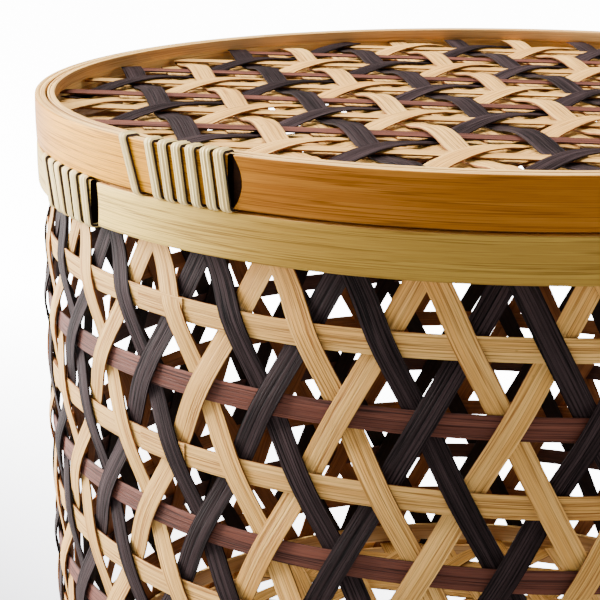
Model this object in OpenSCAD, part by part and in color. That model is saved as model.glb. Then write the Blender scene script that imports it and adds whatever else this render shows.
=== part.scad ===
// Round lidded caddy of split bamboo in open three-way weave.
// Millimetres, +Z up. The origin is the centre of the foot's underside, and the lashings
// of the rim and the lid are on the front left, towards -X and -Y.

/* [Body] */
// Radius over the outer hoops
outer_r = 119.5; // [119:0.5:120]
// Height of the rim band and of the foot band
band_h = 9.8; // [9.6:0.1:10.4]
// Height from one crossing of the wall weave to the next
level_step = 16.2; // [15.8:0.1:17]
// Number of strips that lean each way round the wall, half of them dark
strips_each_way = 44; // [42:2:44]

/* [Hoops] */
// Thickness of the outer hoops
outer_hoop_t = 2.7; // [2.5:0.1:2.7]
// Thickness of the inner hoops
inner_hoop_t = 1.25; // [1:0.05:1.25]
// Thickness of the thin hoop that fills the lid's top edge
filler_t = 0.5; // [0.4:0.1:0.5]
// Height that the locating collar stands above the rim
collar_rise = 3.2; // [2.6:0.1:3.3]

/* [Wall strips] */
// Width of the wall strips and hoops
wall_strip_w = 5.2; // [4.6:0.1:5.3]
// Thickness of the wall strips and hoops
wall_strip_t = 0.5; // [0.4:0.05:0.5]
// How far a strip swings out and in of the wall's middle
wall_swing = 1; // [0.95:0.05:1]

/* [Lid] */
// Height of the lid band
lid_h = 11; // [10.8:0.1:12]
// Width of the mat strips
mat_strip_w = 5.8; // [5:0.1:6]
// Distance between strips that lean the same way, along a row
mat_pitch = 20.4; // [20:0.1:21]
// Distance between rows
mat_row_step = 21.6; // [21:0.1:22]
// Turn of the mats' rows about the vertical
mat_turn = -12.5; // [-15:0.5:-10]

/* [Lashing] */
// Width of the cane in the lashings
cane_w = 1.9; // [1.6:0.1:2]
// Thickness of the cane in the lashings
cane_t = 0.4; // [0.35:0.05:0.4]

/* [Hidden] */
$fn = 180;

natural = "#dcc08c";
dark = "#4a4048";
red_brown = "#8a4a3c";
honey = "#cf9448";
olive = "#b8a468";
cane = "#e8dcc0";

// Radii of the clamped layers, from the outside in
clearance = 0.05;
cane_gap_r = outer_r - outer_hoop_t - clearance - cane_t;
clamp_r = 115.55;
clamp_swing = 0.4;
fit_gap = 0.1;
mat_end_gap = 0.15;
filler_gap = 0.05;
collar_play = 0.95;
inner_hoop_r = clamp_r - clamp_swing - wall_strip_t / 2 - fit_gap;
lid_inner_r = outer_r - outer_hoop_t - cane_t - filler_t - 2 * fit_gap;
collar_r = lid_inner_r - inner_hoop_t - collar_play;
collar_t = 1.2;

// Levels of the wall weave: 0 lies behind the rim band, and the last one behind the foot band
levels = 10;
level_inset = 2.7;
foot_level_z = band_h - level_inset;
rim_bottom = foot_level_z + levels * level_step - level_inset;
rim_top = rim_bottom + band_h;
wall_bulge = 2.7;
wall_bulge_power = 6;
wall_pitch = 360 / strips_each_way;
wall_phase = 199;
wall_lean = atan(PI * outer_r / strips_each_way / level_step);
strip_end_inset = 1.2;
leave_clamp = 0.24;
hoop_edge = 0.2;

// Heights in the lid, all from the lower edge of its outer hoop
lid_gap = 0.8;
lid_bottom = rim_top + lid_gap;
lid_rest_gap = 0.3;
mat_t = 0.45;
mat_swing = 0.85;
mat_mid = 6.75;
mat_clear = 1.15;
backing_t = 0.4;
backing_swing = 0.72;
backing_mid = 4.7;
backing_clear = 1;
mat_r = cane_gap_r - mat_end_gap;
mat_phase = [-11.6, -12];
backing_phase = [1.6, -3];

// Heights in the foot
base_mid = 6;
base_swing = 0.9;
base_clear = 1.3;
base_r = inner_hoop_r - fit_gap;
foot_inner_h = 5.7;
ledge_bottom = 0.3;

// Lashings: the angles at which the first and the last turn of cane lie, and their number
lid_lash = [222.8, 236.3, 7];
rim_lash = [202, 213.8, 6];
foot_lash = [22, 33.8, 6];
lap_slot_gap = 0.7;
lap_slot_angle = 1.7;
lap_slot_depth = 1.4;
foot_pare = 0.55;

function odd(k) = k % 2 != 0;
function level_z(k) = foot_level_z + (levels - k) * level_step;
function wall_r(k) = clamp_r + wall_bulge * (1 - pow(abs(2 * k / levels - 1), wall_bulge_power));

// A strip's distance from the wall's middle at a level: side is 1 for the left-leaning strips,
// which pass outside the odd hoops, and -1 for the right-leaning ones.
function swing(k, side) = side * (odd(k) ? wall_swing : -wall_swing);
function held(side) = -side * clamp_swing;

// One row for each ring of a wall strip: [level, radius]
function wall_rings(side) = concat(
    [[-(rim_top - strip_end_inset - level_z(0)) / level_step, clamp_r + held(side)]],
    [[leave_clamp, clamp_r + held(side)]],
    [[1 - hoop_edge, wall_r(1 - hoop_edge) + swing(1, side)]],
    [for (k = [1 : levels - 1]) [k, wall_r(k) + swing(k, side)]],
    [[levels - 1 + hoop_edge, wall_r(1 - hoop_edge) + swing(levels - 1, side)]],
    [[levels - leave_clamp, clamp_r + held(side)]],
    [[levels + (level_z(levels) - strip_end_inset) / level_step, clamp_r + held(side)]]
);

function around(r, angle, z) = [r * cos(angle), r * sin(angle), z];

function wall_ring(k, r, angle) =
    let (half_angle = wall_strip_w / cos(wall_lean) / 2 / r * 180 / PI,
         half_t = wall_strip_t / 2,
         z = level_z(k))
    [
        around(r - half_t, angle - half_angle, z),
        around(r + half_t, angle - half_angle, z),
        around(r + half_t, angle + half_angle, z),
        around(r - half_t, angle + half_angle, z)
    ];

// A closed ribbon through rings of four points, the first ring being the highest. Its twisted
// faces are split along their short diagonals, which side chooses, so that it stays one thickness.
module ribbon(rings, side) {
    n = len(rings);
    last = 4 * (n - 1);
    polyhedron(
        points = [for (ring = rings) for (p = ring) p],
        faces = concat(
            [[0, 1, 2], [0, 2, 3], [last + 2, last + 1, last], [last + 3, last + 2, last]],
            [for (i = [0 : n - 2]) for (j = [0 : 3])
                let (a = 4 * i + j, b = 4 * i + (j + 1) % 4, inner = j == 3)
                    inner == (side < 0) ? [a, a + 4, b] : [a, b + 4, b]],
            [for (i = [0 : n - 2]) for (j = [0 : 3])
                let (a = 4 * i + j, b = 4 * i + (j + 1) % 4, inner = j == 3)
                    inner == (side < 0) ? [b, a + 4, b + 4] : [a, a + 4, b + 4]]
        ),
        convexity = 4
    );
}

module hoop(r_out, t, z, h) {
    translate([0, 0, z])
        rotate_extrude()
            translate([r_out - t, 0])
                square([t, h]);
}

// An outer hoop: a step shows where its outer end stops, just past the lashing
module lapped_hoop(z, h, lash) {
    difference() {
        hoop(outer_r, outer_hoop_t, z, h);
        rotate([0, 0, lash[1] + lap_slot_gap])
            translate([0, 0, z - 1])
                rotate_extrude(angle = lap_slot_angle)
                    translate([outer_r - lap_slot_depth, 0])
                        square([lap_slot_depth + 1, h + 2]);
    }
}

// One turn of cane round an outer hoop's section
module cane_turn(z, h) {
    inside_r = outer_r - outer_hoop_t - clearance;
    translate([0, cane_w / 2, 0])
        rotate([90, 0, 0])
            linear_extrude(cane_w)
                difference() {
                    translate([inside_r - cane_t, z - clearance - cane_t])
                        square([outer_hoop_t + 2 * (clearance + cane_t) + fit_gap, h + 2 * (clearance + cane_t)]);
                    translate([inside_r, z - clearance])
                        square([outer_hoop_t + 2 * clearance + fit_gap, h + 2 * clearance]);
                }
}

module lashing(z, h, lash) {
    step = (lash[1] - lash[0]) / (lash[2] - 1);
    for (i = [0 : lash[2] - 1])
        rotate([0, 0, lash[0] + i * step])
            cane_turn(z, h);
}

// Every second strip of one lean round the wall, starting with strip number first
module wall_strips(side, first) {
    for (i = [first : 2 : strips_each_way - 1])
        ribbon([for (ring = wall_rings(side))
            wall_ring(ring[0], ring[1], wall_phase + (i + side * ring[0] / 2) * wall_pitch)], side);
}

module wall_hoop(k) {
    hoop(wall_r(k) + wall_strip_t / 2, wall_strip_t, level_z(k) - wall_strip_w / 2, wall_strip_w);
}

// The flat mats are set out from a lattice point, with rows numbered downwards from it
mat_lean = atan(mat_pitch / 2 / mat_row_step);
mat_slant = sqrt(pow(mat_pitch / 2, 2) + pow(mat_row_step, 2));
row_end_gap = 0.02;

function turned(p, angle) = [
    p[0] * cos(angle) - p[1] * sin(angle),
    p[0] * sin(angle) + p[1] * cos(angle)
];
function wave(k) = let (f = k - floor(k)) (odd(floor(k)) ? -1 : 1) * (1 - 2 * f);

// The run of row numbers that one leaning strip covers inside a circle, as [first, last]
function strip_run(start, side, r) =
    let (d = [side * mat_pitch / 2 / mat_slant, -mat_row_step / mat_slant],
         off = abs(start[0] * d[1] - start[1] * d[0]) + mat_strip_w / 2,
         half = off < r ? sqrt(r * r - off * off) - mat_strip_w / 2 * tan(mat_lean) : 0,
         middle = -(start[0] * d[0] + start[1] * d[1]))
    [(middle - half) / mat_slant, (middle + half) / mat_slant];

// The rings' row numbers: both ends, and every whole row that isn't right at an end
function run_rows(run) = concat(
    [run[0]],
    [for (k = [ceil(run[0] + row_end_gap) : floor(run[1] - row_end_gap)]) k],
    [run[1]]
);

function mat_ring(p, z, t) =
    let (half_w = mat_strip_w / cos(mat_lean) / 2)
    [
        [p[0] - half_w, p[1], z - t / 2],
        [p[0] + half_w, p[1], z - t / 2],
        [p[0] + half_w, p[1], z + t / 2],
        [p[0] - half_w, p[1], z + t / 2]
    ];

// Strips of one lean, side 1 for left and -1 for right, from strip number first in steps
module mat_leaning(origin, side, first, step, z, amplitude, t, r) {
    at = turned(origin, -mat_turn);
    reach = 12;
    shortest = 0.8;
    rotate([0, 0, mat_turn])
        for (i = [first - reach : step : reach]) {
            start = [at[0] + i * mat_pitch, at[1]];
            run = strip_run(start, side, r);
            if (run[1] - run[0] > shortest)
                ribbon([for (k = run_rows(run))
                    mat_ring([start[0] + side * k * mat_pitch / 2, start[1] - k * mat_row_step],
                             z + side * amplitude * wave(k), t)], side);
        }
}

// Straight rows, from row number first in steps
module mat_rows(origin, first, step, z, t, r) {
    at = turned(origin, -mat_turn);
    reach = 8;
    shortest = 12;
    rotate([0, 0, mat_turn])
        for (k = [first - reach : step : reach]) {
            v = at[1] - k * mat_row_step;
            off = abs(v) + mat_strip_w / 2;
            half = off < r ? sqrt(r * r - off * off) : 0;
            if (half > shortest)
                translate([-half, v - mat_strip_w / 2, z - t / 2])
                    cube([2 * half, mat_strip_w, t]);
        }
}

module rim_outer_hoop() {
    color(olive) lapped_hoop(rim_bottom, band_h, rim_lash);
}
module rim_inner_hoop() {
    color(natural) hoop(inner_hoop_r, inner_hoop_t, rim_bottom, band_h);
}
module rim_lashing() {
    color(cane) lashing(rim_bottom, band_h, rim_lash);
}
module locating_collar() {
    collar_drop = 9;
    color(natural) hoop(collar_r, collar_t, rim_top - collar_drop, collar_drop + collar_rise);
}
module foot_outer_hoop() {
    color(olive)
        difference() {
            lapped_hoop(0, band_h, foot_lash);
            rotate([0, 0, foot_lash[0] - 1.5])
                translate([0, 0, -1])
                    rotate_extrude(angle = foot_lash[1] - foot_lash[0] + 3)
                        translate([outer_r - outer_hoop_t - 1, 0])
                            square([outer_hoop_t + 2, 1 + foot_pare]);
        }
}
module foot_inner_hoop() {
    color(natural) hoop(inner_hoop_r, inner_hoop_t, base_mid + base_clear, foot_inner_h);
}
module foot_ledge_hoop() {
    color(natural) hoop(inner_hoop_r, inner_hoop_t, ledge_bottom, base_mid - base_clear - ledge_bottom);
}
module foot_lashing() {
    color(cane) lashing(foot_pare, band_h - foot_pare, foot_lash);
}
module base_mat_rows() {
    color(natural) mat_rows(mat_phase, 0, 1, base_mid, mat_t, base_r);
}
module base_mat_leaning(side) {
    color(natural) mat_leaning(mat_phase, side, 0, 1, base_mid, base_swing, mat_t, base_r);
}
module lid_outer_hoop() {
    color(honey) lapped_hoop(lid_bottom, lid_h, lid_lash);
}
module lid_filler_hoop() {
    filler_bottom = mat_mid + mat_clear;
    color(natural)
        hoop(lid_inner_r + filler_t + filler_gap, filler_t, lid_bottom + filler_bottom, lid_h - filler_bottom);
}
module lid_inner_hoop() {
    inner_bottom = mat_mid + mat_clear;
    color(natural) hoop(lid_inner_r, inner_hoop_t, lid_bottom + inner_bottom, lid_h - inner_bottom);
}
module lid_support_hoop() {
    support_top = backing_mid - backing_clear;
    support_bottom = lid_rest_gap - lid_gap;
    color(natural)
        hoop(lid_inner_r, inner_hoop_t, lid_bottom + support_bottom, support_top - support_bottom);
}
module lid_lashing() {
    color(cane) lashing(lid_bottom, lid_h, lid_lash);
}
module lid_rows(first) {
    mat_rows(mat_phase, first, 2, lid_bottom + mat_mid, mat_t, mat_r);
}
module lid_leaning(side, first) {
    mat_leaning(mat_phase, side, first, 2, lid_bottom + mat_mid, mat_swing, mat_t, mat_r);
}
module lid_backing_rows() {
    color(natural) mat_rows(backing_phase, 0, 1, lid_bottom + backing_mid, backing_t, mat_r);
}
module lid_backing_leaning(side) {
    color(natural)
        mat_leaning(backing_phase, side, 0, 1, lid_bottom + backing_mid, backing_swing, backing_t, mat_r);
}

rim_outer_hoop();
rim_inner_hoop();
rim_lashing();
locating_collar();
color(natural) wall_strips(1, 1);  // wall_left_lean_natural
color(dark) wall_strips(1, 0);  // wall_left_lean_dark
color(natural) wall_strips(-1, 1);  // wall_right_lean_natural
color(dark) wall_strips(-1, 0);  // wall_right_lean_dark
for (k = [1 : levels - 1])
    color(odd(k) ? natural : red_brown) wall_hoop(k);
foot_outer_hoop();
foot_inner_hoop();
foot_ledge_hoop();
foot_lashing();
base_mat_rows();
base_mat_leaning(1);  // base_mat_left_lean
base_mat_leaning(-1);  // base_mat_right_lean
lid_outer_hoop();
lid_filler_hoop();
lid_inner_hoop();
lid_support_hoop();
lid_lashing();
color(natural) lid_rows(1);  // lid_rows_natural
color(red_brown) lid_rows(0);  // lid_rows_red
color(natural) lid_leaning(1, 1);  // lid_left_lean_natural
color(dark) lid_leaning(1, 0);  // lid_left_lean_dark
color(natural) lid_leaning(-1, 0);  // lid_right_lean_natural
color(dark) lid_leaning(-1, 1);  // lid_right_lean_dark
lid_backing_rows();
lid_backing_leaning(1);  // lid_backing_left_lean
lid_backing_leaning(-1);  // lid_backing_right_lean
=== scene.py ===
import math
import random

import bpy
from mathutils import Matrix, Vector


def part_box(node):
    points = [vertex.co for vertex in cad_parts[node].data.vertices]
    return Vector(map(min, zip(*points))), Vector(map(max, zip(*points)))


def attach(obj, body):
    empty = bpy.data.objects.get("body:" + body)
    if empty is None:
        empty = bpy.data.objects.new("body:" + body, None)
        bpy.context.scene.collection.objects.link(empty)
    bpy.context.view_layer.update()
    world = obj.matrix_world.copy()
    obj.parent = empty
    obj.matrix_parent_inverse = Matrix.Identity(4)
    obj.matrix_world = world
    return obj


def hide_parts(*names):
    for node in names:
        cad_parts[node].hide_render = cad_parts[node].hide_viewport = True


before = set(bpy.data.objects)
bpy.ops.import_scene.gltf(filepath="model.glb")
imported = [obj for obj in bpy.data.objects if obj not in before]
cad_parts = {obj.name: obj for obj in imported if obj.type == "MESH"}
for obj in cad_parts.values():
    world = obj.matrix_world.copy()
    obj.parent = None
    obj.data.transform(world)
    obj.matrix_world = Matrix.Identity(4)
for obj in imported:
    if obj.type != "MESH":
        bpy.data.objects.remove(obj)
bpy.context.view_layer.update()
bpy.ops.object.select_all(action="DESELECT")

# ---------------------------------------------------------------------------
# The table, the lamps and the camera
# ---------------------------------------------------------------------------
# A pale table in a white room. A large soft lamp stands on the left, a little behind, with a
# smaller one overhead and a weak one on the right. The camera is close, just above the lid.

lid_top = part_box("lid_outer_hoop")[1].z
outer_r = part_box("lid_outer_hoop")[1].x


class Value:
    """One output in a tree of shader nodes: sums written with it become Math nodes."""

    def __init__(self, tree, socket=None):
        self.tree = tree
        self.socket = socket

    def node(self, kind, settings, inputs, output=0):
        """Adds a node: its settings first, then a value or a link for each named input."""
        made = self.tree.nodes.new("ShaderNode" + kind)
        for name, setting in settings.items():
            if name == "stops":
                ramp = made.color_ramp
                while len(ramp.elements) < len(setting):
                    ramp.elements.new(1)
                for element, (place, colour) in zip(ramp.elements, setting):
                    element.position = place
                    element.color = (*colour, 1)
            else:
                setattr(made, name, setting)
        for name, given in inputs.items():
            if isinstance(given, Value):
                self.tree.links.new(given.socket, made.inputs[name])
            else:
                made.inputs[name].default_value = given
        return Value(self.tree, made.outputs[output])

    def maths(self, operation, first, second=0.0):
        return self.node("Math", {"operation": operation}, {0: first, 1: second})

    def __add__(self, other):
        return self.maths("ADD", self, other)

    __radd__ = __add__

    def __sub__(self, other):
        return self.maths("SUBTRACT", self, other)

    def __rsub__(self, other):
        return self.maths("SUBTRACT", other, self)

    def __mul__(self, other):
        return self.maths("MULTIPLY", self, other)

    __rmul__ = __mul__

    def __abs__(self):
        return self.maths("ABSOLUTE", self)

    def sine(self):
        return self.maths("SINE", self)

    def between(self, low, high):
        """0 at low and 1 at high, with a smooth step between."""
        return self.node(
            "MapRange", {"interpolation_type": "SMOOTHSTEP"},
            {"Value": self, "From Min": low, "From Max": high},
        )

    def ramp(self, low, high, first, last):
        """First at low and last at high, in a straight line between."""
        return self.node(
            "MapRange", {},
            {"Value": self, "From Min": low, "From Max": high, "To Min": first, "To Max": last},
        )

    def blend(self, first, second):
        """The first colour where this value is 0, and the second where it is 1."""
        return self.node(
            "Mix", {"data_type": "RGBA", "clamp_factor": True}, {0: self, 6: first, 7: second}, output=2
        )

    def distance(self, place):
        """How far this position is from a fixed place."""
        return self.node("VectorMath", {"operation": "DISTANCE"}, {0: self, 1: place}, output="Value")

    def feed(self, shader, name):
        """Links this value to a shader's named input."""
        self.tree.links.new(self.socket, shader.inputs[name])


def soft_lamp(name, place, aim, width, height, power, colour):
    """A rectangular softbox that faces a point."""
    bpy.ops.object.light_add(type="AREA", location=place)
    lamp = bpy.context.object
    lamp.name = name
    lamp.rotation_euler = (Vector(aim) - Vector(place)).to_track_quat("-Z", "Y").to_euler()
    lamp.data.shape = "RECTANGLE"
    lamp.data.size = width
    lamp.data.size_y = height
    lamp.data.energy = power
    lamp.data.color = colour


soft_lamp(
    "key_lamp", place=(-1.25, 0.42, 0.6), aim=(0, 0, 0.12),
    width=0.9, height=0.9, power=112, colour=(1.0, 0.98, 0.94),
)
soft_lamp(
    "top_lamp", place=(-0.35, 0.15, 1.25), aim=(0, 0, 0.18),
    width=0.8, height=0.6, power=36, colour=(1.0, 0.99, 0.97),
)
soft_lamp(
    "right_lamp", place=(1.3, -0.5, 0.4), aim=(0, 0, 0.12),
    width=0.5, height=0.8, power=9, colour=(1.0, 0.98, 0.95),
)

# The room is dim as a light, and white where the camera sees it
room_light = 0.16
room_seen = 12.0
room = bpy.data.worlds.new("room")
bpy.context.scene.world = room
room.use_nodes = True
background = room.node_tree.nodes["Background"]
background.inputs["Color"].default_value = (0.97, 0.98, 1.0, 1)
room_start = Value(room.node_tree)
camera_sees = room_start.node("LightPath", {}, {}, output="Is Camera Ray")
camera_sees.ramp(0.0, 1.0, room_light, room_seen).feed(background, "Strength")

# The table glows though it is no lamp. To the camera it is white, with painted shade that
# deepens towards its darkest place, at the left of the caddy. The painted light it gives the
# caddy from below grows with distance from another place, in front and right.
darkest_place = (-0.4, -0.15, 0)
darkest_colour = (0.1, 0.1, 0.115)
dark_reach = (0.31, 0.64)
bounce_place = (0.25, -0.75, 0)
bounce_reach = (0.8, 1.5)
bounce_light = (0.02, 0.38)
bpy.ops.mesh.primitive_circle_add(vertices=64, radius=6, fill_type="NGON", location=(0, 0, 0))
table = bpy.context.object
table.name = "table"
table_paint = bpy.data.materials.new("table_paint")
table_paint.use_nodes = True
table_shader = table_paint.node_tree.nodes["Principled BSDF"]
table_shader.inputs["Base Color"].default_value = (0.2, 0.2, 0.205, 1)
table_shader.inputs["Roughness"].default_value = 0.8
table_shader.inputs["Specular IOR Level"].default_value = 0.1
table_shader.inputs["Emission Strength"].default_value = 14
table_start = Value(table_paint.node_tree)
where = table_start.node("NewGeometry", {}, {}, output="Position")
camera_sees = table_start.node("LightPath", {}, {}, output="Is Camera Ray")
white_share = where.distance(darkest_place).ramp(*dark_reach, 0.0, 1.0)
glow = table_start.node(
    "ValToRGB", {"stops": ((0.0, darkest_colour), (1.0, (1.0, 1.0, 1.0)))}, {"Fac": white_share}
)
bounce = where.distance(bounce_place).ramp(*bounce_reach, *bounce_light)
camera_sees.blend(bounce, glow).feed(table_shader, "Emission Color")
table.data.materials.append(table_paint)

bpy.ops.object.camera_add(
    location=(-0.4382 * outer_r, -3.4512 * outer_r, lid_top + 0.509 * outer_r),
    rotation=(math.radians(73.82), 0, 0),
)
camera = bpy.context.object
camera.data.sensor_width = 36
camera.data.lens = 96
bpy.context.scene.camera = camera

# ---------------------------------------------------------------------------
# The leaning strips of the wall
# ---------------------------------------------------------------------------
# Eighty-eight long strips split from bamboo, half left pale and half dyed dark. They lean
# both ways, pass over and under each other at every hoop, and the rim and foot clamp them.

MM = 0.001
wall_hoops = 9
hoop_boxes = [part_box(f"wall_hoop_{level}") for level in range(1, wall_hoops + 1)]
hoop_heights = [(low.z + high.z) / 2 for low, high in hoop_boxes]
strip_w = hoop_boxes[0][1].z - hoop_boxes[0][0].z
strip_t = 0.5 * MM
# The skin side is rounded: higher by the crown in the middle than at the edges, with a share
# of that above the flat and the rest below it
strip_crown = 0.13 * MM
crown_above = 0.35
crown_cuts = 4
level_step = (hoop_heights[0] - hoop_heights[-1]) / (wall_hoops - 1)
weave_top = hoop_heights[0] + level_step
levels = wall_hoops + 1
strips_each_way = 44
strip_turn = math.tau / strips_each_way
first_turn = math.radians(199)
wall_bulge = 2.7 * MM
clamp_r = hoop_boxes[wall_hoops // 2][1].x - strip_t / 2 - wall_bulge
# How far strips of each lean swing in and out in the weave, and where the hoops clamp them
wall_swing = {1: 0.75 * MM, -1: 1.0 * MM}
clamp_swing = 0.3 * MM
# A strip leaves the clamp at the first of these levels, and weaves fully from the second
free_levels = (0.15, 1.05)
steps_per_level = 6
strip_uneven = 0.35 * MM
lean = math.atan(math.pi * outer_r / strips_each_way / level_step)
# Strips' grain lies this far apart in u, so that each has its own streaks and tone
grain_step = 0.05
# The spacing of the bundles of fibre that stand up on a strip's face
rib_step = 0.8 * MM
# A face is skin if it looks at least this much outwards
skin_cos = 0.5


def wall_radius(level):
    """The middle of the wall, which swells a little between the rim and the foot."""
    return clamp_r + wall_bulge * (1 - abs(2 * level / levels - 1) ** 6)


def ease(value, low, high):
    """Rises smoothly from 0 at low to 1 at high."""
    share = min(1, max(0, (value - low) / (high - low)))
    return share * share * (3 - 2 * share)


def strip_radius(level, side):
    """How far out a leaning strip lies: side is 1 for left-leaning strips and -1 for right."""
    free = ease(level, *free_levels) * ease(levels - level, *free_levels)
    woven = wall_radius(level) - side * wall_swing[side] * math.cos(math.pi * level)
    return free * woven + (1 - free) * (clamp_r + side * clamp_swing)


def strip_section(place, width, thick, crown):
    """Adds a strip's cross-section, flat at first: rounded on its skin side, towards +X."""
    bpy.ops.mesh.primitive_plane_add(size=1, location=(0, 0, 0))
    bpy.ops.object.mode_set(mode="EDIT")
    bpy.ops.transform.resize(value=(thick, width, 1))
    bpy.ops.transform.translate(value=place)
    section = bpy.context.object
    bpy.ops.object.mode_set(mode="OBJECT")
    for edge in section.data.edges:
        ends = [section.data.vertices[v].co.x for v in edge.vertices]
        edge.select = min(ends) > place[0]
    for vertex in section.data.vertices:
        vertex.select = vertex.co.x > place[0]
    for face in section.data.polygons:
        face.select = False
    bpy.ops.object.mode_set(mode="EDIT")
    bpy.ops.mesh.subdivide(number_cuts=crown_cuts)
    bpy.ops.object.mode_set(mode="OBJECT")
    for vertex in section.data.vertices:
        if vertex.co.x > place[0]:
            across = (vertex.co.y - place[1]) / (width / 2)
            vertex.co.x += crown * (crown_above - across * across)
    bpy.ops.object.mode_set(mode="EDIT")
    bpy.ops.mesh.select_all(action="SELECT")
    return section


def finish_strip(strip, name, skin_side, smooth=35):
    """Leaves edit mode, turns faces outwards and gives skin and raw faces their paints."""
    bpy.ops.mesh.select_all(action="SELECT")
    bpy.ops.mesh.normals_make_consistent(inside=False)
    bpy.ops.object.mode_set(mode="OBJECT")
    strip.name = name
    bpy.ops.object.transform_apply(location=True, rotation=True, scale=True)
    bpy.ops.object.shade_smooth_by_angle(angle=math.radians(smooth))
    for face in strip.data.polygons:
        face.material_index = 0 if skin_side(face) else 1


def write_grain(mesh, along_across):
    """Writes the grain's own UV map, in metres: u runs across the strip, and v along it."""
    grain = mesh.uv_layers.new(name="grain")
    for loop in mesh.loops:
        along, across = along_across(mesh.vertices[loop.vertex_index].co)
        grain.data[loop.index].uv = (across, along)


def own_grain(mesh, number, rng):
    """Moves a copy's grain, so that no two strips have the same streaks or tone."""
    along = rng.uniform(0, 3)
    for corner in mesh.uv_layers["grain"].data:
        corner.uv = (corner.uv[0] + number * grain_step, corner.uv[1] + along)


def gather(pieces, name, paints):
    """Joins copies into one piece, with its paints in slots: skin first, then raw side."""
    bpy.ops.object.select_all(action="DESELECT")
    for piece in pieces:
        for paint in dict.fromkeys(paints):
            piece.data.materials.append(paint)
        piece.select_set(True)
    bpy.context.view_layer.objects.active = pieces[0]
    if len(pieces) > 1:
        bpy.ops.object.join()
    whole = bpy.context.object
    bpy.ops.object.transform_apply(location=True, rotation=True, scale=True)
    bpy.ops.object.select_all(action="DESELECT")
    whole.name = name
    whole.data.name = name
    return whole


def copy_of(piece):
    """A copy with its own mesh."""
    twin = piece.copy()
    twin.data = piece.data.copy()
    bpy.context.scene.collection.objects.link(twin)
    return twin


def noise(u, v, across, along, detail, seed):
    """Streaky noise: across and along are the sizes of its grains."""
    place = u.node("CombineXYZ", {}, {0: u * (1 / across), 1: v * (1 / along), 2: seed})
    return u.node("TexNoise", {}, {"Vector": place, "Scale": 1.0, "Detail": detail, "Roughness": 0.55})


# Painted light on the caddy's left side, which faces the key lamp: how far left of the middle
# it starts and is at its full strength, where it fades again at the edge, and how much of the
# wood's colour it takes
lit_side_start = (0.055, 0.100)
lit_side_fade = (0.106, 0.118)
lit_side_fade_share = 0.75
lit_side_share = 0.9


def bamboo(
    name, pale, deep, line, tones, lines=0.5, gloss=0.45, depth=0.12, specks=0.0, shine=0.4,
    sheen=(1, 1, 1), ribs=0.0, lit_side=None,
):
    """Split bamboo. Colours: pale and deep of the soft wood, and the line of its fibres.

    tones is how much strips differ, lines how dark the fibres are, depth the height of the
    ridges in millimetres, specks how many small dark marks there are, shine the share of
    light the surface reflects, sheen the reflection's tint, ribs how dark the furrows
    between its bundles of fibre are, and lit_side the colour painted on the caddy's left
    side, which faces the key lamp: painted light.
    """
    paint = bpy.data.materials.new(name)
    paint.use_nodes = True
    shader = paint.node_tree.nodes["Principled BSDF"]
    shader.inputs["Specular IOR Level"].default_value = shine
    shader.inputs["Specular Tint"].default_value = (*sheen, 1)
    start = Value(paint.node_tree)
    grain = start.node("UVMap", {"uv_map": "grain"}, {})
    u = start.node("SeparateXYZ", {}, {0: grain}, output="X")
    v = start.node("SeparateXYZ", {}, {0: grain}, output="Y")

    # One number for each strip gives it a tone of its own
    number = start.maths("FLOOR", u * (1 / grain_step) + 0.5)
    chance = start.node("TexWhiteNoise", {"noise_dimensions": "1D"}, {"W": number})
    broad = noise(u, v, across=1.1 * MM, along=90 * MM, detail=2, seed=1.5)
    fine = noise(u, v, across=0.33 * MM, along=28 * MM, detail=3, seed=7.2)
    patchy = noise(u, v, across=20 * MM, along=35 * MM, detail=2, seed=3.1)
    wood = broad.between(0.35, 0.68) * 0.55 + fine.between(0.3, 0.7) * 0.3 + (chance - 0.5) * tones
    colour = (wood + (patchy - 0.5) * 0.6).blend((*pale, 1), (*deep, 1))
    # Painted light: on the caddy's left side, which faces the key lamp, the skin takes a set colour,
    # which fades again near the edge
    if lit_side:
        spot = start.node("TexCoord", {}, {}, output="Object")
        left = 0.0 - start.node("SeparateXYZ", {}, {0: spot}, output="X")
        edge = 1 - left.between(*lit_side_fade) * lit_side_fade_share
        colour = (left.between(*lit_side_start) * edge * lit_side_share).blend(colour, (*lit_side, 1))

    # Fibres are thin dark lines along the wood, and hairs are finer ones
    fibre = 1 - abs(broad - 0.5).between(0.0, 0.05)
    hair = 1 - abs(fine - 0.5).between(0.0, 0.06)
    colour = ((fibre * 0.75 + hair * 0.4) * lines).blend(colour, (*line, 1))
    wander = u * (math.pi / rib_step) + broad * 5 + fine * 1.5
    furrow = 1 - abs(wander.sine()).between(0.02, 0.5)
    if ribs:
        colour = (furrow * ribs * patchy.between(0.3, 0.6)).blend(colour, (*line, 1))
    if specks:
        stretched = start.node("CombineXYZ", {}, {0: u * 260, 1: v * 110, 2: 0.0})
        spots = start.node("TexVoronoi", {}, {"Vector": stretched, "Scale": 1.0})
        dots = (1 - spots.between(0.02, 0.07)) * patchy.between(0.5, 0.56)
        colour = (dots * specks).blend(colour, (line[0] * 0.25, line[1] * 0.2, line[2] * 0.2, 1))
    colour.feed(shader, "Base Color")
    rough = (1 - gloss) + (fine - 0.5) * 0.25 + fibre * 0.08
    rough.feed(shader, "Roughness")
    height = broad * 0.6 + fine * 0.4 - fibre * 0.25 - hair * 0.12 - furrow * ribs * 0.6
    bump = start.node("Bump", {}, {"Strength": 0.9, "Distance": depth * MM, "Height": height})
    bump.feed(shader, "Normal")
    return paint


# Painted light: on the caddy's left side, which faces the key lamp, the pale strips take a set colour,
# a little darker than their mean
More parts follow.
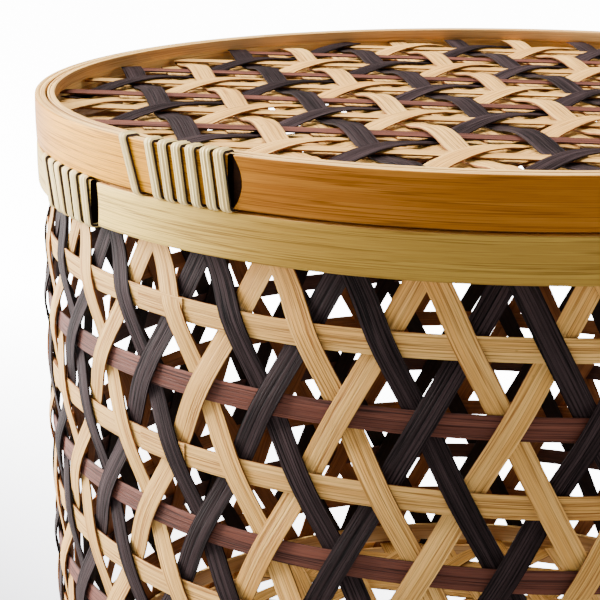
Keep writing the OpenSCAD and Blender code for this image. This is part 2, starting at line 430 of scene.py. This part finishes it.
natural_skin = bamboo(
    "natural_skin", (0.90, 0.53, 0.15), (0.70, 0.33, 0.06), (0.30, 0.11, 0.015),
    tones=0.4, lines=0.9, gloss=0.42, depth=0.25, specks=0.8, shine=0.2, ribs=0.5,
    lit_side=(0.66, 0.38, 0.10),
)
natural_raw = bamboo(
    "natural_raw", (0.24, 0.085, 0.022), (0.14, 0.045, 0.010), (0.05, 0.016, 0.004),
    tones=0.3, lines=0.5, gloss=0.3, depth=0.12, shine=0.2,
)
dark_skin = bamboo(
    "dark_skin", (0.052, 0.033, 0.034), (0.014, 0.008, 0.008), (0.002, 0.0015, 0.0015),
    tones=0.25, lines=1.0, gloss=0.45, depth=0.3, shine=0.04, ribs=1.0,
)
dark_raw = bamboo(
    "dark_raw", (0.012, 0.007, 0.006), (0.006, 0.003, 0.003), (0.02, 0.01, 0.008),
    tones=0.2, lines=0.5, gloss=0.3, depth=0.12, shine=0.1,
)


def outward_face(face):
    """True for a face that looks away from the upright axis."""
    outwards = Vector((face.center.x, face.center.y, 0)).normalized()
    return face.normal.dot(outwards) > skin_cos


def lean_turn(level, side):
    """The angle round the caddy at which a leaning strip crosses a level."""
    return first_turn + side * level * strip_turn / 2


def model_wall_strip(side):
    """One leaning strip of the wall, extruded downwards from the rim, level by level."""
    low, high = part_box("wall_left_lean_dark")
    top_level = (weave_top - high.z) / level_step
    foot_level = (weave_top - low.z) / level_step
    rings = round((foot_level - top_level) * steps_per_level)
    reach = (foot_level - top_level) / rings
    level = top_level
    radius = strip_radius(level, side)
    strip = strip_section(
        (radius, 0, weave_top - level * level_step), strip_w / math.cos(lean), strip_t, strip_crown
    )
    bpy.ops.transform.rotate(value=-lean_turn(level, side), orient_axis="Z", center_override=(0, 0, 0))
    for _ in range(rings):
        turn = lean_turn(level, side)
        out = strip_radius(level + reach, side) - strip_radius(level, side)
        step = (out * math.cos(turn), out * math.sin(turn), -reach * level_step)
        bpy.ops.mesh.extrude_region_move(TRANSFORM_OT_translate={"value": step})
        bpy.ops.transform.rotate(
            value=-side * reach * strip_turn / 2, orient_axis="Z", center_override=(0, 0, 0)
        )
        level += reach

    def along_across(point):
        level = (weave_top - point.z) / level_step
        turned = math.atan2(point.y, point.x) - lean_turn(level, side)
        across = (turned + math.pi) % math.tau - math.pi
        return (weave_top - point.z) / math.cos(lean), across * clamp_r * math.cos(lean)

    finish_strip(strip, "wall_strip", outward_face)
    write_grain(strip.data, along_across)
    return strip


wall_rng = random.Random(5)
for side, lean_name in ((1, "left"), (-1, "right")):
    pattern = model_wall_strip(side)
    for first, colour_name, paints in (
        (1, "natural", (natural_skin, natural_raw)),
        (0, "dark", (dark_skin, dark_raw)),
    ):
        node = f"wall_{lean_name}_lean_{colour_name}"
        strips = []
        for number in range(first, strips_each_way, 2):
            twin = copy_of(pattern)
            own_grain(twin.data, number, wall_rng)
            uneven = wall_rng.uniform(-strip_uneven, strip_uneven) / clamp_r
            twin.rotation_euler.z = number * strip_turn + uneven
            strips.append(twin)
        piece = gather(strips, node + "_strips", paints)
        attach(piece, "caddy")
        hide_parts(node)
    bpy.data.objects.remove(pattern)

# ---------------------------------------------------------------------------
# The level hoops of the wall
# ---------------------------------------------------------------------------
# Nine strips bent into hoops, pale and red brown in turn, which the leaning strips pass on
# both sides. Each is closed by a lap, and three laps have their cut ends on the front left.

red_skin = bamboo(
    "red_skin", (0.18, 0.056, 0.034), (0.095, 0.025, 0.014), (0.018, 0.005, 0.003),
    tones=0.2, lines=0.9, gloss=0.45, depth=0.25, shine=0.15, ribs=0.6,
)
red_raw = bamboo(
    "red_raw", (0.06, 0.018, 0.010), (0.03, 0.009, 0.006), (0.012, 0.005, 0.004),
    tones=0.2, lines=0.5, gloss=0.3, depth=0.12, shine=0.3,
)
hoop_steps = 180
corner_segments = 3
face_cuts = 6
wall_hoop_crown = 0.08 * MM
wall_hoop_bevel = 0.1 * MM
hoop_wave = 0.3 * MM
lap_t = 0.3 * MM
lap_clear = 0.01 * MM
lap_crown = 0.04 * MM
lap_bevel = 0.08 * MM
lap_reach = math.radians(7)
lap_steps = 8
# A lap's grain is this many steps from its hoop's
lap_grain = 20
# Two points closer than this are one
same_place = 1e-6
# Each lap: the hoop it is on, and the angle of its cut end
laps = ((1, math.radians(222.2)), (3, math.radians(222.4)), (3, math.radians(196.5)))


def ring_section(low, high, r_in, r_out, crown, bevel):
    """A hoop's cross-section at angle 0, with its outer face towards +X."""
    bpy.ops.mesh.primitive_plane_add(size=1, location=(0, 0, 0))
    bpy.ops.object.mode_set(mode="EDIT")
    bpy.ops.transform.rotate(value=math.pi / 2, orient_axis="X", center_override=(0, 0, 0))
    bpy.ops.transform.resize(value=(r_out - r_in, 1, high - low))
    bpy.ops.transform.translate(value=((r_in + r_out) / 2, 0, (low + high) / 2))
    bpy.ops.mesh.bevel(affect="VERTICES", offset=bevel, segments=corner_segments)
    section = bpy.context.object
    bpy.ops.object.mode_set(mode="OBJECT")
    middle = (r_in + r_out) / 2
    for edge in section.data.edges:
        ends = [section.data.vertices[v].co for v in edge.vertices]
        upright = abs(ends[0].x - ends[1].x) < same_place / 10
        edge.select = upright and ends[0].x > middle
    for vertex in section.data.vertices:
        vertex.select = False
    for face in section.data.polygons:
        face.select = False
    bpy.ops.object.mode_set(mode="EDIT")
    bpy.ops.mesh.select_mode(type="EDGE")
    bpy.ops.mesh.subdivide(number_cuts=face_cuts)
    bpy.ops.mesh.select_mode(type="VERT")
    bpy.ops.object.mode_set(mode="OBJECT")
    half = (high - low) / 2
    for vertex in section.data.vertices:
        if vertex.co.x > middle:
            up = (vertex.co.z - (low + high) / 2) / half
            vertex.co.x -= crown * up * up
    bpy.ops.object.mode_set(mode="EDIT")
    bpy.ops.mesh.select_all(action="SELECT")
    return section


def spin_ring(first, sweep, steps):
    """Sweeps the selected section round the upright axis, from one angle through another."""
    bpy.ops.transform.rotate(value=-first, orient_axis="Z", center_override=(0, 0, 0))
    whole = sweep > math.tau - same_place
    if whole:
        bpy.ops.mesh.delete(type="ONLY_FACE")
        bpy.ops.mesh.select_all(action="SELECT")
    bpy.ops.mesh.spin(steps=steps, angle=-sweep, center=(0, 0, 0), axis=(0, 0, 1))
    if whole:
        bpy.ops.mesh.select_all(action="SELECT")
        bpy.ops.mesh.remove_doubles(threshold=same_place)


def grain_round(mesh, radius, number):
    """Grain that runs round the caddy, with u up the hoop's height or across its edge."""
    grain = mesh.uv_layers.new(name="grain")
    for face in mesh.polygons:
        middle = math.atan2(face.center.y, face.center.x)
        for corner in face.loop_indices:
            point = mesh.vertices[mesh.loops[corner].vertex_index].co
            turn = (math.atan2(point.y, point.x) - middle + math.pi) % math.tau - math.pi
            reach = math.hypot(point.x, point.y) - radius
            grain.data[corner].uv = (point.z + reach + number * grain_step, (middle + turn) * radius)


def wavy(mesh, rng, height):
    """A hand-bent hoop is never quite level: it has a few waves round it, of random size."""
    swells = [(order, rng.uniform(0, math.tau), rng.uniform(0.4, 1)) for order in (2, 3, 5, 9)]
    for vertex in mesh.vertices:
        turn = math.atan2(vertex.co.y, vertex.co.x)
        swell = sum(share * math.sin(order * turn + start) for order, start, share in swells)
        vertex.co.z += height * swell / 2


for level in range(1, wall_hoops + 1):
    low, high = hoop_boxes[level - 1]
    radius = high.x
    hoop = ring_section(low.z, high.z, radius - strip_t, radius, wall_hoop_crown, wall_hoop_bevel)
    spin_ring(math.pi / 2, math.tau, hoop_steps)
    finish_strip(hoop, "hoop", outward_face)
    parts = [hoop]
    for lap_level, lap_end in laps:
        if lap_level == level:
            lap = ring_section(
                low.z, high.z, radius + lap_clear, radius + lap_t, lap_crown, lap_bevel
            )
            spin_ring(lap_end, lap_reach, lap_steps)
            finish_strip(lap, "lap", outward_face)
            parts.append(lap)
    for number, part in enumerate(parts):
        grain_round(part.data, radius, level + lap_grain * number)
        wavy(part.data, random.Random(level), hoop_wave)
    pale = level % 2 == 1
    paints = (natural_skin, natural_raw) if pale else (red_skin, red_raw)
    piece = gather(parts, f"wall_hoop_{level}_strip", paints)
    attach(piece, "caddy")
    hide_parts(f"wall_hoop_{level}")

# ---------------------------------------------------------------------------
# The rim and foot hoops and the collar
# ---------------------------------------------------------------------------
# Tall hoops of thick bamboo, skin outwards, scraped smooth and bent hot. The inner hoop
# clamps the wall's ends against the outer one, whose lapped end stops beside the lashing.

# Painted highlight: the outer hoops of the rim and foot are painted much lighter on the caddy's left
# side, which faces the key lamp
olive_skin = bamboo(
    "olive_skin", (0.48, 0.30, 0.055), (0.34, 0.19, 0.030), (0.18, 0.085, 0.012),
    tones=0.0, lines=0.75, gloss=0.6, depth=0.08, shine=0.1,
    lit_side=(0.95, 0.66, 0.15), sheen=(1, 0.86, 0.55),
)
hoop_raw = bamboo(
    "hoop_raw", (0.52, 0.28, 0.085), (0.40, 0.18, 0.045), (0.20, 0.08, 0.015),
    tones=0.0, lines=0.6, gloss=0.4, depth=0.1,
)
hoop_edge = bamboo(
    "hoop_edge", (0.86, 0.54, 0.16), (0.66, 0.34, 0.08), (0.34, 0.14, 0.025),
    tones=0.0, lines=0.8, gloss=0.3, depth=0.15,
)
# Painted shade: near black for the floor and the cut ends of each lap's slot
slot_shade = bamboo(
    "slot_shade", (0.010, 0.004, 0.002), (0.006, 0.003, 0.002), (0.003, 0.002, 0.001),
    tones=0.0, lines=0.3, gloss=0.1, depth=0.1, shine=0.0,
)
outer_hoop_t = 2.7 * MM
skin_layer_t = 1.4 * MM
skin_crown = 0.12 * MM
skin_bevel = 0.3 * MM
hoop_bevel = 0.25 * MM
lapped_steps = 240
# The foot's hoop is pared under its lashing, so that the cane stays off the floor
foot_recess = 1.0 * MM
foot_recess_turns = (20, 36)
lap_slot = math.radians(1.7)
lap_slot_gap = math.radians(0.7)
# The core takes the slot's painted shade in the slot, and this far past both its ends, in radians
slot_margin = 0.02
# The lap's cut end is rounded over this turn, by a pull of up to each hoop's bulge
lap_round = math.radians(1.3)
at_end = 1e-4
rim_bulge = math.radians(0.3)
lid_bulge = math.radians(1.1)
# Where the wound turns end and each hoop's lap begins
lap_turns = {
    "rim": math.radians(213.8), "foot": math.radians(33.8), "lid": math.radians(235.3),
}
# A face is a cut end if it looks at least this much along the hoop
cap_cos = 0.7
# The inner hoops' thickness in millimetres
hoop_walls = {
    "rim_inner_hoop": 1.25, "foot_inner_hoop": 1.25, "foot_ledge_hoop": 1.25, "locating_collar": 1.2,
    "lid_filler_hoop": 0.5, "lid_inner_hoop": 1.25, "lid_support_hoop": 1.25,
}


def plain_hoop(node, body, number, bevel=hoop_bevel):
    """A closed inner hoop without a visible lap, sized by its CAD node."""
    low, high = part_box(node)
    wall = hoop_walls[node] * MM
    hoop = ring_section(low.z, high.z, high.x - wall, high.x, 0.0, bevel)
    spin_ring(math.pi / 2, math.tau, hoop_steps)
    finish_strip(hoop, node + "_bamboo", lambda face: abs(face.normal.z) < 0.6)
    grain_round(hoop.data, high.x, number)
    piece = gather([hoop], node + "_bamboo", (hoop_raw, hoop_edge))
    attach(piece, body)
    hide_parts(node)


def lapped_hoop(node, lash_end, paint, body, bulge, pared=0.0, number=0):
    """An outer hoop in two layers: a closed core, and a skin that stops at the lap's slot."""
    low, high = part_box(node)
    core_r = high.x - skin_layer_t
    core = ring_section(low.z, high.z, high.x - outer_hoop_t, core_r, 0.0, hoop_bevel)
    spin_ring(math.pi / 2, math.tau, lapped_steps)
    finish_strip(core, "core", outward_face)
    grain_round(core.data, high.x, number + 3)
    slot_start = lash_end + lap_slot_gap
    slot_end = slot_start + lap_slot
    skin = ring_section(low.z, high.z, core_r, high.x, skin_crown, skin_bevel)
    spin_ring(slot_end, math.tau - lap_slot, lapped_steps)
    finish_strip(skin, "skin", outward_face)
    middle = (low.z + high.z) / 2
    half = (high.z - low.z) / 2
    for vertex in skin.data.vertices:
        turn = math.atan2(vertex.co.y, vertex.co.x) % math.tau
        past = turn - slot_end
        if 0 <= past + at_end < lap_round:
            up = (vertex.co.z - middle) / half
            pull = bulge * (up * up) * ease(lap_round - past, 0, lap_round)
            vertex.co = Matrix.Rotation(-pull, 3, "Z") @ vertex.co
    grain_round(skin.data, high.x, number)
    if pared:
        for part in (core, skin):
            for vertex in part.data.vertices:
                turn = math.degrees(math.atan2(vertex.co.y, vertex.co.x))
                under = foot_recess_turns[0] < turn < foot_recess_turns[1]
                if under and vertex.co.z < low.z + pared:
                    vertex.co.z = low.z + pared
    # The skin's cut ends and the core between them are painted near black: painted shade for the slot
    for face in skin.data.polygons:
        along_hoop = abs(face.center.x * face.normal.y - face.center.y * face.normal.x)
        if along_hoop > cap_cos * core_r:
            face.material_index = 2
    for face in core.data.polygons:
        turn = math.atan2(face.center.y, face.center.x) % math.tau
        if face.material_index == 0 and slot_start - slot_margin < turn < slot_end + slot_margin:
            face.material_index = 2
        else:
            face.material_index = 1
    piece = gather([core, skin], node + "_bamboo", (paint, hoop_edge, slot_shade))
    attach(piece, body)
    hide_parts(node)


lapped_hoop("rim_outer_hoop", lap_turns["rim"], olive_skin, "caddy", rim_bulge)
lapped_hoop(
    "foot_outer_hoop", lap_turns["foot"], olive_skin, "caddy", rim_bulge,
    pared=foot_recess, number=1,
)
plain_hoop("rim_inner_hoop", "caddy", number=5)
plain_hoop("locating_collar", "caddy", number=6)
plain_hoop("foot_inner_hoop", "caddy", number=7)
plain_hoop("foot_ledge_hoop", "caddy", number=8)

# ---------------------------------------------------------------------------
# The lashings
# ---------------------------------------------------------------------------
# Turns of split cane that bind the lapped ends, drawn tight while damp. Each goes over the
# top edge, down the outside, under, and back up between the hoops, leaning as it is wound.

cane_skin = bamboo(
    "cane_skin", (0.95, 0.74, 0.30), (0.82, 0.56, 0.18), (0.32, 0.20, 0.06),
    tones=0.15, lines=0.7, gloss=0.5, depth=0.15, ribs=0.35,
)
# Painted shade: the sides of each turn are near black, for the shadowed line between the turns
cane_side_shade = bamboo(
    "cane_side_shade", (0.035, 0.015, 0.007), (0.02, 0.008, 0.004), (0.01, 0.004, 0.002),
    tones=0.1, lines=0.4, gloss=0.3, depth=0.1,
)
cane_t = 0.7 * MM
cane_ridge = 0.22 * MM
cane_ridges = 3
cane_ridge_share = 0.7
cane_crown_share = 1.2
cane_cuts = 11
cane_corner = 0.35 * MM
corner_steps = 4
# The cane stands this far off the hoop's outside and its inside
cane_clear = 0.02 * MM
cane_clear_inside = 0.05 * MM


def model_wrap(hoop_node, cane_w):
    """One turn of cane at angle 0, extruded round the hoop's section."""
    hoop_low, hoop_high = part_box(hoop_node)
    r_out = hoop_high.x + cane_clear
    r_in = hoop_high.x - outer_hoop_t - cane_clear_inside
    bottom = max(hoop_low.z - cane_clear, foot_recess)
    top = hoop_high.z + cane_clear
    corner = cane_corner
    path = []
    for (x, z), start in (
        ((r_out - corner, top - corner), 90), ((r_out - corner, bottom + corner), 0),
        ((r_in + corner, bottom + corner), -90), ((r_in + corner, top - corner), 180),
    ):
        for part in range(corner_steps + 1):
            turn = math.radians(start - 90 * part / corner_steps)
            path.append((x + corner * math.cos(turn), z + corner * math.sin(turn), turn))
    bpy.ops.mesh.primitive_plane_add(size=1, location=(0, 0, 0))
    bpy.ops.object.mode_set(mode="EDIT")
    bpy.ops.transform.resize(value=(cane_t, cane_w, 1))
    bpy.ops.transform.translate(value=(cane_t / 2, 0, 0))
    wrap = bpy.context.object
    bpy.ops.object.mode_set(mode="OBJECT")
    for edge in wrap.data.edges:
        edge.select = min(wrap.data.vertices[v].co.x for v in edge.vertices) > cane_t / 2
    for vertex in wrap.data.vertices:
        vertex.select = vertex.co.x > cane_t / 2
    for face in wrap.data.polygons:
        face.select = False
    bpy.ops.object.mode_set(mode="EDIT")
    bpy.ops.mesh.subdivide(number_cuts=cane_cuts)
    bpy.ops.object.mode_set(mode="OBJECT")
    for vertex in wrap.data.vertices:
        if vertex.co.x > cane_t / 2:
            across = vertex.co.y / (cane_w / 2)
            ridges = cane_ridge_share * (1 - math.cos((across + 1) * math.pi * cane_ridges)) / 2
            crown = cane_crown_share * (1 - across * across)
            vertex.co.x += cane_ridge * (crown + ridges - cane_crown_share / 2)
    bpy.ops.object.mode_set(mode="EDIT")
    bpy.ops.mesh.select_all(action="SELECT")
    x, z, turn = path[0]
    bpy.ops.transform.rotate(value=turn, orient_axis="Y", center_override=(0, 0, 0))
    bpy.ops.transform.translate(value=(x, 0, z))
    for next_x, next_z, next_turn in path[1:] + path[:1]:
        swing = (next_turn - turn + math.pi) % math.tau - math.pi
        bpy.ops.mesh.extrude_region_move(TRANSFORM_OT_translate={"value": (next_x - x, 0, next_z - z)})
        if abs(swing) > same_place:
            bpy.ops.transform.rotate(value=swing, orient_axis="Y", center_override=(next_x, 0, next_z))
        x, z, turn = next_x, next_z, next_turn
    bpy.ops.mesh.delete(type="ONLY_FACE")
    bpy.ops.mesh.select_all(action="SELECT")
    bpy.ops.mesh.remove_doubles(threshold=same_place)
    bpy.ops.mesh.select_all(action="DESELECT")
    bpy.ops.mesh.select_interior_faces()
    bpy.ops.mesh.delete(type="ONLY_FACE")
    # The turns' sides take the near-black painted shade
    finish_strip(wrap, "wrap", lambda face: abs(face.normal.y) < 0.8, smooth=30)
    middle_r = (r_out + r_in) / 2
    grain = wrap.data.uv_layers.new(name="grain")
    for face in wrap.data.polygons:
        flank = abs(face.center.x - middle_r) > (r_out - r_in) / 2
        for corner in face.loop_indices:
            point = wrap.data.vertices[wrap.data.loops[corner].vertex_index].co
            grain.data[corner].uv = (point.y, point.z if flank else point.x)
    return wrap, top, bottom


# For each lashing: its body, the cane's width in millimetres, the angle of its first turn, the
# gap after that, the pitch of the others, how many there are, how far the first and the last
# ones lean, all in degrees, and how fast the lean fades between them
windings = {
    "rim": ("caddy", 3.1, 200.2, 3.2, 2.48, 6, 3.0, 0.8, 1.5),
    "foot": ("caddy", 3.1, 20.6, 3.2, 2.45, 6, 2.6, 0.8, 1.5),
    "lid": ("lid", 2.5, 221.7, 4.0, 1.9, 7, 2.1, 0.8, 6),
}
wind_uneven = 0.15
cane_rng = random.Random(3)
for part_name, (body, width, start, gap, pitch, count, first_lean, last_lean, fade) in windings.items():
    node = part_name + "_lashing"
    pattern, top, bottom = model_wrap(part_name + "_outer_hoop", width * MM)
    turns = []
    for number in range(count):
        twin = copy_of(pattern)
        own_grain(twin.data, number, cane_rng)
        share = number / (count - 1)
        after_first = gap + (number - 1) * pitch if number else 0
        degrees = start + after_first + cane_rng.uniform(-wind_uneven, wind_uneven)
        slant = math.radians(last_lean + (first_lean - last_lean) * (1 - share) ** fade)
        reach = outer_r * slant / (top - bottom)
        for vertex in twin.data.vertices:
            vertex.co.y += reach * (top - vertex.co.z)
        twin.rotation_euler.z = math.radians(degrees)
        turns.append(twin)
    bpy.data.objects.remove(pattern)
    piece = gather(turns, node + "_cane", (cane_skin, cane_side_shade))
    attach(piece, body)
    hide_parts(node)

# ---------------------------------------------------------------------------
# The lid's hoops
# ---------------------------------------------------------------------------
# The same build as the rim, in a browner bamboo. A thin filler closes the top edge between
# the outer and the inner hoop, and a support hoop holds the two mats up from below.

# Painted highlight: the lid's outer hoop is painted much lighter on the caddy's left side, which faces
# the key lamp
honey_skin = bamboo(
    "honey_skin", (0.40, 0.155, 0.020), (0.28, 0.092, 0.009), (0.13, 0.036, 0.003),
    tones=0.0, lines=0.7, gloss=0.6, depth=0.08, shine=0.06,
    lit_side=(0.85, 0.38, 0.006), sheen=(1, 0.72, 0.35),
)
filler_bevel = 0.12 * MM
lapped_hoop("lid_outer_hoop", lap_turns["lid"], honey_skin, "lid", lid_bulge, number=2)
plain_hoop("lid_filler_hoop", "lid", number=9, bevel=filler_bevel)
plain_hoop("lid_inner_hoop", "lid", number=10)
plain_hoop("lid_support_hoop", "lid", number=11)

# ---------------------------------------------------------------------------
# The mats of the lid and the base
# ---------------------------------------------------------------------------
# Flat three-way weaving: straight rows, with strips of two leans that arch over and under
# them. The lid's top mat has red and pale rows, and pale and dark leaning strips. A plain
# mat backs it, and another closes the base. The hoops clamp their ends.

mat_turn = math.radians(-12.5)
mat_w = 5.8 * MM
# The backing's strips are wider, so that it closes more of the gaps
backing_w = 8.2 * MM
mat_crown = 0.16 * MM
mat_pitch = 20.4 * MM
mat_row_step = 21.6 * MM
mat_slant = math.hypot(mat_pitch / 2, mat_row_step)
mat_rows_reach = 11
# A row is made this long each way, and a leaning strip goes as far as the rows reach
row_reach = 130 * MM
row_rings = 24
rings_per_slant = 10
# A strip that would lie nearer to the hoop than this is left out
edge_space = 8 * MM
mat_uneven = 0.3 * MM
mat_tilt = 0.002
# The mats' strips take the steps of grain after those of the wall's strips
mat_grain = 40


def model_mat_strip(reach, amplitude, thick, rings, top_arch, width):
    """A strip along X, centred on a crossing where it passes on top, and rounded upwards."""
    strip = strip_section((0, 0, 0), width, thick, mat_crown)
    bpy.ops.transform.rotate(value=math.pi / 2, orient_axis="Y", center_override=(0, 0, 0))
    step = 2 * reach / rings

    def height(place):
        wave = math.cos(math.pi * place / mat_slant)
        return amplitude * (wave * top_arch if wave > 0 else wave)

    place = -reach
    bpy.ops.transform.translate(value=(place, 0, height(place)))
    for _ in range(rings):
        rise = height(place + step) - height(place)
        bpy.ops.mesh.extrude_region_move(TRANSFORM_OT_translate={"value": (step, 0, rise)})
        place += step
    finish_strip(strip, "mat_strip", lambda face: face.normal.z > 0.6)
    write_grain(strip.data, lambda point: (point.x, point.y))
    return strip


def clip_strip(strip, low, high):
    """Cuts a strip that lies along X to the stretch between two places."""
    bpy.ops.object.select_all(action="DESELECT")
    bpy.context.view_layer.objects.active = strip
    strip.select_set(True)
    bpy.ops.object.mode_set(mode="EDIT")
    for place, outwards in ((low, -1), (high, 1)):
        bpy.ops.mesh.select_all(action="SELECT")
        bpy.ops.mesh.bisect(
            plane_co=(place, 0, 0), plane_no=(outwards, 0, 0),
            use_fill=True, clear_outer=True, threshold=same_place,
        )
    bpy.ops.object.mode_set(mode="OBJECT")
    strip.select_set(False)


def lay_strips(pattern, starts, side, radius, mid_z, width, rng):
    """Copies of one strip, laid through given points and cut to the round of a hoop."""
    laid = []
    heading = math.atan2(-mat_row_step, side * mat_pitch / 2) if side else 0
    along = Vector((math.cos(heading), math.sin(heading)))
    for number, start in starts:
        off = abs(start.x * along.y - start.y * along.x) + width / 2
        if off > radius - edge_space:
            continue
        half = math.sqrt(radius * radius - off * off)
        middle = -start.dot(along)
        twin = copy_of(pattern)
        clip_strip(twin, middle - half, middle + half)
        own_grain(twin.data, number % mat_grain + mat_grain, rng)
        uneven = rng.uniform(-mat_uneven, mat_uneven)
        tilt = rng.uniform(-mat_tilt, mat_tilt)
        twin.matrix_world = (
            Matrix.Translation((0, 0, mid_z))
            @ Matrix.Rotation(mat_turn, 4, "Z")
            @ Matrix.Translation((start.x - along.y * uneven, start.y + along.x * uneven, 0))
            @ Matrix.Rotation(heading + tilt, 4, "Z")
        )
        laid.append(twin)
    return laid


def strip_starts(origin, side, first, step):
    """Numbered places where strips of one lean cross the row through the origin, or rows lie."""
    at = Matrix.Rotation(-mat_turn, 2) @ Vector(origin)
    numbers = range(first - 2 * (mat_rows_reach // 2), mat_rows_reach + 1, step)
    if side:
        return [(number, Vector((at.x + number * mat_pitch, at.y))) for number in numbers]
    return [(number, Vector((0, at.y - number * mat_row_step))) for number in numbers]


# The lid's strips lie flatter from the first of these distances to the hoop, and fully so
# from the second: what rises past a share of the usual height keeps a part of the rest
settle_from = 24 * MM
settle_full = 7 * MM
settle_share = 0.6
settle_rest = 0.25


def settle_ends(mesh, mid_z, amplitude, thick, radius):
    """Near the hoops the strips lie flatter, because they are clamped there."""
    limit = (amplitude + thick) * settle_share
    for vertex in mesh.vertices:
        near = ease(math.hypot(vertex.co.x, vertex.co.y), radius - settle_from, radius - settle_full)
        rise = vertex.co.z - mid_z
        if near > 0 and rise > limit:
            vertex.co.z -= near * (rise - limit) * (1 - settle_rest)


mat_rng = random.Random(17)
lid_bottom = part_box("lid_outer_hoop")[0].z
top_mat_z = lid_bottom + 6.75 * MM
backing_z = lid_bottom + 4.7 * MM
base_z = 6 * MM
lid_origin = (-11.6 * MM, -12 * MM)
backing_origin = (1.6 * MM, -3 * MM)
lid_mat_r = 116.1
base_mat_r = 114.6
# For each mat: the point its weave starts from, its height, how far it swings, its thickness
# and its radius in millimetres, its extra arch on top, its strips' width and its body. Then
# for each node: its side (0 for rows, 1 for a left lean and -1 for a right one), its first
# strip, the step to the next, and its colour
mats = (
    (lid_origin, top_mat_z, 0.85, 0.45, lid_mat_r, 1.5, mat_w, "lid", (
        ("lid_rows_natural", 0, 1, 2, "natural"),
        ("lid_rows_red", 0, 0, 2, "red"),
        ("lid_left_lean_natural", 1, 1, 2, "natural"),
        ("lid_left_lean_dark", 1, 0, 2, "dark"),
        ("lid_right_lean_natural", -1, 0, 2, "natural"),
        ("lid_right_lean_dark", -1, 1, 2, "dark"),
    )),
    (backing_origin, backing_z, 0.72, 0.4, lid_mat_r, 1, backing_w, "lid", (
        ("lid_backing_rows", 0, 0, 1, "natural"),
        ("lid_backing_left_lean", 1, 0, 1, "natural"),
        ("lid_backing_right_lean", -1, 0, 1, "natural"),
    )),
    (lid_origin, base_z, 0.9, 0.45, base_mat_r, 1, mat_w, "caddy", (
        ("base_mat_rows", 0, 0, 1, "natural"),
        ("base_mat_left_lean", 1, 0, 1, "natural"),
        ("base_mat_right_lean", -1, 0, 1, "natural"),
    )),
)
mat_paints = {
    "natural": (natural_skin, natural_raw), "dark": (dark_skin, dark_raw), "red": (red_skin, red_raw),
}
for origin, height, swing, thick, radius, arch, width, body, nodes in mats:
    for node, side, first, step, colour_name in nodes:
        reach = mat_rows_reach * mat_slant if side else row_reach
        rings = 2 * mat_rows_reach * rings_per_slant if side else row_rings
        pattern = model_mat_strip(reach, side * swing * MM, thick * MM, rings, arch, width)
        starts = strip_starts(origin, side, first, step)
        strips = lay_strips(pattern, starts, side, radius * MM, height, width, mat_rng)
        bpy.data.objects.remove(pattern)
        piece = gather(strips, node + "_strips", mat_paints[colour_name])
        if side and arch > 1:
            settle_ends(piece.data, height, swing * MM, thick * MM, radius * MM)
        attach(piece, body)
        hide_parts(node)
